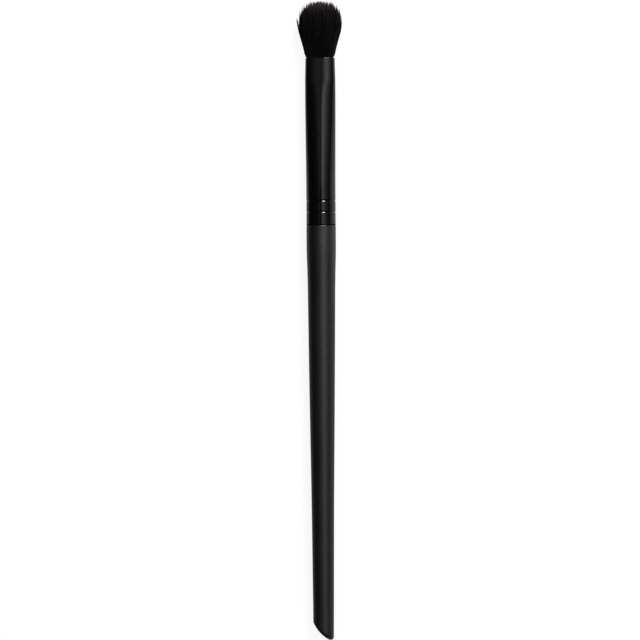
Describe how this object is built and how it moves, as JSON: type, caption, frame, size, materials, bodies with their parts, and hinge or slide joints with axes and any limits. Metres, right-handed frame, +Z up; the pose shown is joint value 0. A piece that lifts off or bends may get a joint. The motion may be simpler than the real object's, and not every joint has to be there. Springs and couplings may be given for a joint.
{
  "type": "eyeshadow brush",
  "caption": "Slim black eyeshadow blending brush with a domed bristle tuft, a crimped ferrule pressed flat at its mouth, and a tapered handle with a slanted tail.",
  "frame": {"origin": "on the surface that the brush lies on, under the middle of its length", "axes": "+Y along the brush towards the bristle tips, +X across the flat sides of the ferrule, +Z up"},
  "size_m": [0.012, 0.175, 0.0081],
  "materials": {
    "handle_lacquer": "satin",
    "ferrule_black": "gloss",
    "bristles": "matte",
    "thread": "matte",
    "glue": "gloss"
  },
  "bodies": {
    "root": {"handle": "handle_lacquer", "handle_glue": "glue", "ferrule": "ferrule_black", "bristle_tuft": "bristles", "binding_thread": "thread", "root_glue": "glue"}
  },
  "joints": []
}
